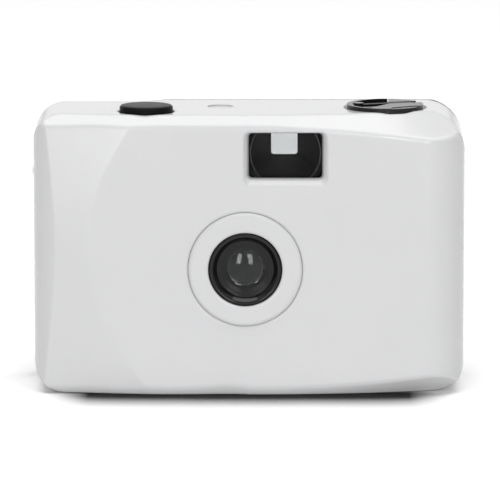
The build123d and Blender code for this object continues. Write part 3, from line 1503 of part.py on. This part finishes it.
def cover_screws():
    """Screws from the back frame into the front cover's bosses."""
    screws = Part()
    for x, z in cover_screw_places:
        y1 = rear_y - 0.1
        shank = rod_y(x, z, screw_radius - 0.05, parting_left_y - 2.0 - screw_length + 1.0, y1)
        head = rod_y(x, z, screw_head_radius, y1 - screw_head_height, y1)
        cross = block(x - 1.1, x + 1.1, y1 - 0.7, y1 + 1, z - 0.2, z + 0.2)
        cross += block(x - 0.2, x + 0.2, y1 - 0.7, y1 + 1, z - 1.1, z + 1.1)
        screws += shank + head - cross
    return screws


def strap_bar():
    """Bent wire bar on the left side for a wrist strap."""
    y0, y1 = strap_bar_y - strap_bar_length / 2, strap_bar_y + strap_bar_length / 2
    low, high = strap_bar_z - strap_bar_width / 2, strap_bar_z + strap_bar_width / 2
    x_out = -half - strap_bar_proud
    points = [(-half + strap_pocket_depth, y0), (x_out, y0), (x_out, y1), (-half + strap_pocket_depth, y1),
              (-half + strap_pocket_depth, y1 - strap_bar_end), (x_out + 0.9, y1 - strap_bar_end),
              (x_out + 0.9, y0 + strap_bar_end), (-half + strap_pocket_depth, y0 + strap_bar_end)]
    return plate_z(outline(points, [0, 0.8, 0.8, 0, 0, 0.3, 0.3, 0]), low, high)


nodes = {
    "front_cover": front_cover,
    "lens_ring": lens_ring,
    "lens_bezel": lens_bezel,
    "lens_element": lens_element,
    "aperture_disc": aperture_disc,
    "shutter_housing": shutter_housing,
    "shutter_blade": shutter_blade,
    "shutter_spring": shutter_spring,
    "release_slide": release_slide,
    "viewfinder_window": viewfinder_window,
    "viewfinder_tunnel": viewfinder_tunnel,
    "eyepiece_lens": eyepiece_lens,
    "counter_window": counter_window,
    "counter_dial": counter_dial,
    "counter_post": counter_post,
    "shutter_button": shutter_button,
    "button_spring": button_spring,
    "rewind_knob": rewind_knob,
    "rewind_lever": rewind_lever,
    "crank_handle": crank_handle,
    "lever_pin": lever_pin,
    "rewind_shaft": rewind_shaft,
    "rewind_retaining_ring": rewind_retaining_ring,
    "thumbwheel": thumbwheel,
    "thumbwheel_axle": thumbwheel_axle,
    "take_up_spool": take_up_spool,
    "take_up_gear": take_up_gear,
    "sprocket_wheel": sprocket_wheel,
    "sprocket_gear": sprocket_gear,
    "gear_plate": gear_plate,
    "plate_screws": plate_screws,
    "ratchet_pawl": ratchet_pawl,
    "main_body": main_body,
    "back_door": back_door,
    "door_window": door_window,
    "window_seal": window_seal,
    "pressure_plate": pressure_plate,
    "pressure_spring": pressure_spring,
    "hinge_pin": hinge_pin,
    "light_seals": seal_strips,
    "door_latch": door_latch,
    "latch_spring": latch_spring,
    "rewind_release_button": rewind_release_button,
    "rewind_release_spring": rewind_release_spring,
    "cover_screws": cover_screws,
    "strap_bar": strap_bar,
}

os.makedirs("parts", exist_ok=True)
for name, make in nodes.items():
    export_step(make(), f"parts/{name}.step")
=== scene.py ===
import json
from math import cos, pi, radians, sin

import bpy
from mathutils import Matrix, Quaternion, Vector


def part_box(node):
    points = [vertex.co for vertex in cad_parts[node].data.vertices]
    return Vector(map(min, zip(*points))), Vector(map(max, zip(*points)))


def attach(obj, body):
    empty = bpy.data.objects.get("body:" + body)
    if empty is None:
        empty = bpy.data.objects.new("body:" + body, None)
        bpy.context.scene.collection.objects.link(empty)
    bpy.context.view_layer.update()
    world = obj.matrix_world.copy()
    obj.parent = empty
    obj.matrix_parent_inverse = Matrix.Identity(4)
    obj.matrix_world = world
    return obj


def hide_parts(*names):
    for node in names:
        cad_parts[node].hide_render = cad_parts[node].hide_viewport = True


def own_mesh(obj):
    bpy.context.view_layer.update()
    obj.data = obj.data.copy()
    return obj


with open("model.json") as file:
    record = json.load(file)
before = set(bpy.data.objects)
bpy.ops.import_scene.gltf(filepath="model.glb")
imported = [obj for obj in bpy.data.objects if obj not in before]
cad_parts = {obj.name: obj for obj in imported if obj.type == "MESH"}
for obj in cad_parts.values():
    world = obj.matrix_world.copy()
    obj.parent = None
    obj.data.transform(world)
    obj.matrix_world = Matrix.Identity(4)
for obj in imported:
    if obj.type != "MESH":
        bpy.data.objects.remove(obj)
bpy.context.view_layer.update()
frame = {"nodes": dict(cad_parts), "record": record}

nodes = frame["nodes"]
slots = {part["node"]: part["material_slot"] for part in frame["record"]["subparts"]}
MM = 0.001

# Nearly all of the noise's values lie between these two
noise_low, noise_high = 0.3, 0.7

# How much of the surroundings' light falls on things, and how bright they look where they are seen
world_lit, world_seen = 0.15, 1.0
floor_lit, floor_seen = 0.82, 1.5
floor_reach = 6.0
floor_drop = 0.0001

# The contact shadow along the object's front: how far it reaches, how open the floor is where it is
# darkest and where it ends, how dark it gets, and where it fades out to the sides and under the object
contact_reach = 22 * MM
contact_closed, contact_open = 0.56, 1.0
contact_dark = 0.05
contact_fade_x = (41 * MM, 53 * MM)
contact_fade_y = (-13.5 * MM, -8 * MM)

# Numbers on the counter dial: every second of its 38 places has a number or a dot
dial_places = 38
number_step = 2
number_size = 0.0019
number_thickness = 0.00001
number_radius = 0.0064
number_lift = 0.00002

# The round edge of the dish in the finder's front lens, drawn as two grey arcs: a painted highlight where
# that edge catches the light
dish_radius = 8.9 * MM
dish_wire = 0.07 * MM
dish_rise = 0.6 * MM
dish_sweep = 80
dish_steps = 14

# Camera
sensor_width = 36.0
focal_length = 396.6
camera_place = (0.00846, -1.4006, 0.2604)
camera_tilt = 9.153
camera_turn = 0.0059


# Nodes of the materials


def new_material(name):
    material = bpy.data.materials.new(name)
    material.use_nodes = True
    tree = material.node_tree
    shader = tree.nodes["Principled BSDF"]
    return material, tree, shader


def add_noise(tree, scale, detail=4.0, roughness=0.5, stretch=None):
    """Noise in object space; the scale is the number of features in a metre."""
    place = tree.nodes.new("ShaderNodeTexCoord")
    noise = tree.nodes.new("ShaderNodeTexNoise")
    noise.inputs["Scale"].default_value = scale
    noise.inputs["Detail"].default_value = detail
    noise.inputs["Roughness"].default_value = roughness
    source = place.outputs["Object"]
    if stretch:
        mapping = tree.nodes.new("ShaderNodeMapping")
        mapping.inputs["Scale"].default_value = stretch
        tree.links.new(source, mapping.inputs["Vector"])
        source = mapping.outputs["Vector"]
    tree.links.new(source, noise.inputs["Vector"])
    return noise


def math_node(tree, operation, *sources):
    node = tree.nodes.new("ShaderNodeMath")
    node.operation = operation
    for index, source in enumerate(sources):
        tree.links.new(source, node.inputs[index])
    return node.outputs[0]


def span(tree, source, start, end, low, high):
    """Maps a value from one range to another, whose ends are numbers or other nodes' outputs."""
    node = tree.nodes.new("ShaderNodeMapRange")
    for name, value in (("From Min", start), ("From Max", end), ("To Min", low), ("To Max", high)):
        if isinstance(value, bpy.types.NodeSocket):
            tree.links.new(value, node.inputs[name])
        else:
            node.inputs[name].default_value = value
    tree.links.new(source, node.inputs["Value"])
    return node.outputs["Result"]


def vary(tree, noise, socket, low, high):
    """Lets a socket wander between two values with the noise."""
    tree.links.new(span(tree, noise.outputs["Fac"], noise_low, noise_high, low, high), socket)


def tint(tree, noise, shader, dark, light):
    """Lets the colour wander between two with the noise."""
    ramp = tree.nodes.new("ShaderNodeValToRGB")
    for element, position, colour in zip(ramp.color_ramp.elements, (noise_low, noise_high), (dark, light)):
        element.position = position
        element.color = (*colour, 1)
    tree.links.new(noise.outputs["Fac"], ramp.inputs["Fac"])
    tree.links.new(ramp.outputs["Color"], shader.inputs["Base Color"])


def relief(tree, shader, noise, strength, distance, edge=0.0):
    """Fine bump, on top of softened edges where an edge radius is given."""
    bump = tree.nodes.new("ShaderNodeBump")
    bump.inputs["Strength"].default_value = strength
    bump.inputs["Distance"].default_value = distance
    tree.links.new(noise.outputs["Fac"], bump.inputs["Height"])
    if edge:
        soft = tree.nodes.new("ShaderNodeBevel")
        soft.samples = 6
        soft.inputs["Radius"].default_value = edge
        tree.links.new(soft.outputs["Normal"], bump.inputs["Normal"])
    tree.links.new(bump.outputs["Normal"], shader.inputs["Normal"])


# Materials: each is a Principled surface with its own small-scale noise


def plastic(name, dark, light, rough, grain, strength, edge=0.0002, coat=0.0, distance=0.00002, shine=0.5):
    """Moulded plastic: broad changes of tone, a fine grain and slightly rounded edges."""
    material, tree, shader = new_material(name)
    broad = add_noise(tree, 60.0)
    fine = add_noise(tree, grain, 3.0)
    tint(tree, broad, shader, dark, light)
    vary(tree, fine, shader.inputs["Roughness"], rough * 0.9, rough * 1.12)
    shader.inputs["IOR"].default_value = 1.5
    shader.inputs["Specular IOR Level"].default_value = shine
    shader.inputs["Coat Weight"].default_value = coat
    shader.inputs["Coat Roughness"].default_value = 0.08
    relief(tree, shader, fine, strength, distance, edge)
    return material


def metal(name, dark, light, rough, stretch):
    """Metal with fine drawn lines along its length."""
    material, tree, shader = new_material(name)
    lines = add_noise(tree, 900.0, 2.0, stretch=stretch)
    tint(tree, lines, shader, dark, light)
    shader.inputs["Metallic"].default_value = 1.0
    vary(tree, lines, shader.inputs["Roughness"], rough * 0.8, rough * 1.2)
    relief(tree, shader, lines, 0.08, 0.00001)
    return material


def clear(name, colour, ior, rough, shine=0.5, highlight_milk=0.0):
    """Clear plastic. Where part of it is made white and cloudy, that white is a painted highlight, standing
    in for the light on the window and on the dial under it.
    """
    material, tree, shader = new_material(name)
    haze = add_noise(tree, 300.0, 2.0)
    shader.inputs["Base Color"].default_value = (*colour, 1)
    shader.inputs["Transmission Weight"].default_value = 1.0 - highlight_milk
    shader.inputs["IOR"].default_value = ior
    vary(tree, haze, shader.inputs["Roughness"], rough * 0.6, rough * 1.4)
    shader.inputs["Specular IOR Level"].default_value = shine
    relief(tree, shader, haze, 0.02, 0.000005)
    return material


def foam(name):
    material, tree, shader = new_material(name)
    cells = add_noise(tree, 4000.0, 6.0, 0.7)
    tint(tree, cells, shader, (0.008, 0.008, 0.008), (0.04, 0.04, 0.042))
    shader.inputs["Roughness"].default_value = 0.95
    shader.inputs["Sheen Weight"].default_value = 0.3
    relief(tree, shader, cells, 0.8, 0.0001)
    return material


def paint(name, dark, light, grain, rough):
    """Plain colour for thin printed or drawn things."""
    material, tree, shader = new_material(name)
    tint(tree, add_noise(tree, grain), shader, dark, light)
    shader.inputs["Roughness"].default_value = rough
    return material


plastics = {
    "white_shell": ((0.775, 0.777, 0.785), (0.79, 0.792, 0.80), 0.2, 1500.0, 0.03),
    "black_gloss": ((0.006, 0.006, 0.006), (0.009, 0.009, 0.009), 0.07, 2200.0, 0.02),
    "black_matte": ((0.014, 0.014, 0.0145), (0.02, 0.02, 0.0205), 0.45, 2600.0, 0.35),
    "black_button": ((0.008, 0.008, 0.0081), (0.011, 0.011, 0.0112), 0.3, 2200.0, 0.03),
    "black_frame": ((0.012, 0.012, 0.0122), (0.017, 0.017, 0.0172), 0.3, 2200.0, 0.05),
    # The finder tunnel's black is far darker and less shiny than the other blacks: its own black with
    # painted shade inside the tunnel
    "tunnel_black_painted_shade": ((0.0015, 0.0015, 0.0016), (0.003, 0.003, 0.0031), 0.4, 2200.0, 0.03),
    # Black of the parts inside the lens, darker than the outer blacks: their own black with painted shade
    # behind the lens
    "inner_black": ((0.002, 0.002, 0.002), (0.004, 0.004, 0.004), 0.5, 2200.0, 0.1),
    "knob_black": ((0.010, 0.010, 0.0105), (0.015, 0.015, 0.0155), 0.18, 2400.0, 0.03),
    "white_gear": ((0.66, 0.66, 0.63), (0.72, 0.72, 0.69), 0.42, 2500.0, 0.1),
    "dial_white": ((0.80, 0.80, 0.78), (0.84, 0.84, 0.82), 0.45, 2500.0, 0.05),
}
finishes = {
    "white_shell": {"edge": 0.0012, "coat": 0.3},
    "black_gloss": {"shine": 0.28},
    "black_matte": {"distance": 0.00006, "shine": 0.2},
    "black_button": {"shine": 0.03},
    "black_frame": {"shine": 0.12},
    "tunnel_black_painted_shade": {"shine": 0.0015},
    "inner_black": {"shine": 0.05},
    "knob_black": {"shine": 0.2},
}
looks = {name: plastic(name, *values, **finishes.get(name, {})) for name, values in plastics.items()}
looks |= {
    "spring_steel": metal("spring_steel", (0.42, 0.42, 0.43), (0.58, 0.58, 0.59), 0.28, (1, 1, 12)),
    "plated_steel": metal("plated_steel", (0.6, 0.6, 0.61), (0.72, 0.72, 0.73), 0.18, (1, 12, 1)),
    "blackened_steel": metal("blackened_steel", (0.02, 0.02, 0.021), (0.05, 0.05, 0.052), 0.42, (1, 1, 10)),
    "clear_plastic": clear("clear_plastic", (0.91, 0.92, 0.93), 1.15, 0.01),
    # The counter window is partly white and cloudy: a painted highlight that makes it look bright
    "counter_glass": clear("counter_glass", (0.95, 0.95, 0.95), 1.6, 0.02, highlight_milk=0.35),
    "lens_plastic": clear("lens_plastic", (0.88, 0.9, 0.92), 1.3, 0.002, 0.3),
    "eyepiece_glass": clear("eyepiece_glass", (0.59, 0.6, 0.6), 1.15, 0.15),
    "foam": foam("foam"),
}

# Pieces whose look differs from that of their material slot
own_looks = {
    # The finder tunnel takes the darker black with painted shade
    "viewfinder_tunnel": "tunnel_black_painted_shade",
    "shutter_button": "black_button",
    "main_body": "black_frame",
    # Parts behind the lens take the darker black with painted shade
    "aperture_disc": "inner_black",
    "shutter_blade": "inner_black",
    "shutter_housing": "inner_black",
    "counter_window": "counter_glass",
    "eyepiece_lens": "eyepiece_glass",
    "rewind_lever": "black_button",
}
for name, piece in nodes.items():
    for slot in piece.material_slots:
        slot.material = looks[own_looks.get(name, slots[name])]


# Pieces that the scene adds


def add_object(name, data):
    item = bpy.data.objects.new(name, data)
    bpy.context.scene.collection.objects.link(item)
    return item


def dial_numbers():
    """Plain printed numbers and dots round the counter dial, a hair above its face."""
    low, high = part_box("counter_dial")
    centre = (Vector(low) + Vector(high)) / 2
    ink = paint("dial_ink", (0.01, 0.01, 0.012), (0.03, 0.03, 0.034), 6000.0, 0.5)
    for count in range(0, dial_places, number_step):
        angle = 2 * pi * count / dial_places
        text = bpy.data.curves.new(f"frame_number_{count}", "FONT")
        text.body = str(count) if count % (2 * number_step) == 0 else "."
        text.size = number_size
        text.extrude = number_thickness
        text.align_x = "CENTER"
        text.align_y = "CENTER"
        text.materials.append(ink)
        piece = add_object(f"frame_number_{count}", text)
        piece.location = (
            centre.x + number_radius * cos(angle),
            centre.y + number_radius * sin(angle),
            high[2] + number_lift,
        )
        piece.rotation_euler = (0, 0, angle - pi / 2)
        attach(piece, "counter")


def finder_lens_edge():
    """Painted highlight: two grey wires along the edge of the round dish in the finder's front lens, where
    it catches the light.
    """
    low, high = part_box("viewfinder_window")
    middle_x = (low[0] + high[0]) / 2
    middle_z = (low[2] + high[2]) / 2 + dish_rise
    # Grey paint for the wires, lighter than the dark tunnel behind them: the painted highlight
    edge = paint("lens_painted_glint", (0.07, 0.07, 0.071), (0.16, 0.16, 0.162), 900.0, 0.3)
    for side, first in (("left", 145), ("right", -45)):
        curve = bpy.data.curves.new(f"finder_lens_edge_{side}", "CURVE")
        curve.dimensions = "3D"
        curve.bevel_depth = dish_wire
        curve.materials.append(edge)
        line = curve.splines.new("POLY")
        line.points.add(dish_steps)
        for step in range(dish_steps + 1):
            angle = radians(first + dish_sweep * step / dish_steps)
            line.points[step].co = (dish_radius * cos(angle), 0, dish_radius * sin(angle), 1)
        piece = add_object(curve.name, curve)
        piece.location = (middle_x, low[1] + dish_wire, middle_z)
        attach(piece, "camera_body")


def springs():
    """Copies of the springs, each attached to the body it rides with, in place of the hidden originals.

    Each row: node, body, joint, axis, its fixed end, and how many millimetres its joint moves it.
    """
    rows = (
        ("button_spring", "camera_body", "shutter_button_press", 2, 0, 1.4),
        ("latch_spring", "camera_body", "door_latch_slide", 2, 0, 5.0),
        ("rewind_release_spring", "camera_body", "rewind_release_press", 2, 1, 1.5),
        ("pressure_spring", "door", "film_pressure_give", 1, 1, 0.8),
    )
    for node, body, joint, axis, fixed_end, travel in rows:
        solid = nodes[node]
        spring = add_object(f"{node}_coil", solid.data.copy())
        spring.matrix_world = solid.matrix_world.copy()
        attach(spring, body)
        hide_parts(node)
        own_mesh(spring)


# Floor, light and camera


def light_path(tree):
    """True on rays that show the white background: camera, glossy and clear ones."""
    path = tree.nodes.new("ShaderNodeLightPath")
    first = math_node(tree, "MAXIMUM", path.outputs["Is Camera Ray"], path.outputs["Is Glossy Ray"])
    return math_node(tree, "MAXIMUM", first, path.outputs["Is Transmission Ray"])


def make_world():
    world = bpy.data.worlds.new("studio")
    bpy.context.scene.world = world
    world.use_nodes = True
    tree = world.node_tree
    background = tree.nodes["Background"]
    background.inputs["Color"].default_value = (1, 1, 1, 1)
    strength = span(tree, light_path(tree), 0.0, 1.0, world_lit, world_seen)
    tree.links.new(strength, background.inputs["Strength"])


def floor_colour(tree):
    """Grey of the floor: plain where it lights things, darker in the contact shadow where it is seen."""
    near = tree.nodes.new("ShaderNodeAmbientOcclusion")
    near.samples = 16
    near.inputs["Distance"].default_value = contact_reach
    contact = span(tree, near.outputs["AO"], contact_closed, contact_open, contact_dark, floor_seen)
    place = tree.nodes.new("ShaderNodeTexCoord")
    split = tree.nodes.new("ShaderNodeSeparateXYZ")
    tree.links.new(place.outputs["Object"], split.inputs["Vector"])
    aside = math_node(tree, "ABSOLUTE", split.outputs["X"])
    middle = span(tree, aside, *contact_fade_x, 1.0, 0.0)
    front = span(tree, split.outputs["Y"], *contact_fade_y, 1.0, 0.0)
    share = math_node(tree, "MULTIPLY", middle, front)
    seen = span(tree, share, 0.0, 1.0, floor_seen, contact)
    return span(tree, light_path(tree), 0.0, 1.0, floor_lit, seen)


def make_floor():
    mesh = bpy.data.meshes.new("floor")
    corners = [(-1, -1), (1, -1), (1, 1), (-1, 1)]
    mesh.from_pydata([(x * floor_reach, y * floor_reach, 0) for x, y in corners], [], [(0, 1, 2, 3)])
    floor = add_object("floor", mesh)
    floor.location.z = -floor_drop
    material, tree, shader = new_material("floor_paper")
    tree.links.new(floor_colour(tree), shader.inputs["Base Color"])
    shader.inputs["Roughness"].default_value = 0.9
    shader.inputs["Specular IOR Level"].default_value = 0.0
    mesh.materials.append(material)


def area_light(name, place, aim, width, height, power, roll=0.0):
    """Flat lamp; sizes in metres, power in watts, roll in degrees about its own aim."""
    data = bpy.data.lights.new(name, "AREA")
    data.shape = "RECTANGLE"
    data.size = width
    data.size_y = height
    data.energy = power
    lamp = add_object(name, data)
    lamp.location = place
    facing = (Vector(aim) - Vector(place)).to_track_quat("-Z", "Y")
    lamp.rotation_euler = (facing @ Quaternion((0, 0, 1), radians(roll))).to_euler()


def make_camera():
    data = bpy.data.cameras.new("camera")
    data.sensor_width = sensor_width
    data.lens = focal_length
    data.clip_start = 0.05
    data.clip_end = 50
    camera = add_object("camera", data)
    camera.location = camera_place
    camera.rotation_euler = (radians(90 - camera_tilt), 0, camera_turn)
    bpy.context.scene.camera = camera


dial_numbers()
finder_lens_edge()
springs()
make_world()
make_floor()
# A broad lamp overhead, a weak one at each side, and two strips that the lens mirrors
area_light("top_box", (0.0, -0.1, 2.5), (0, -0.1, 0), 2.4, 2.4, 46.5)
area_light("left_box", (-1.6, -0.5, 0.5), (0, 0, 0.03), 0.8, 1.0, 0.6)
area_light("right_box", (1.6, -0.5, 0.5), (0, 0, 0.03), 0.8, 1.0, 1.2)
area_light("left_strip", (-0.345, -1.6, 0.19), (0, 0, 0.03), 0.22, 0.64, 5.9, roll=-8)
area_light("right_strip", (0.245, -1.6, 0.19), (0, 0, 0.03), 0.22, 0.64, 5.9, roll=8)
make_camera()
bpy.context.scene.view_settings.view_transform = "Standard"
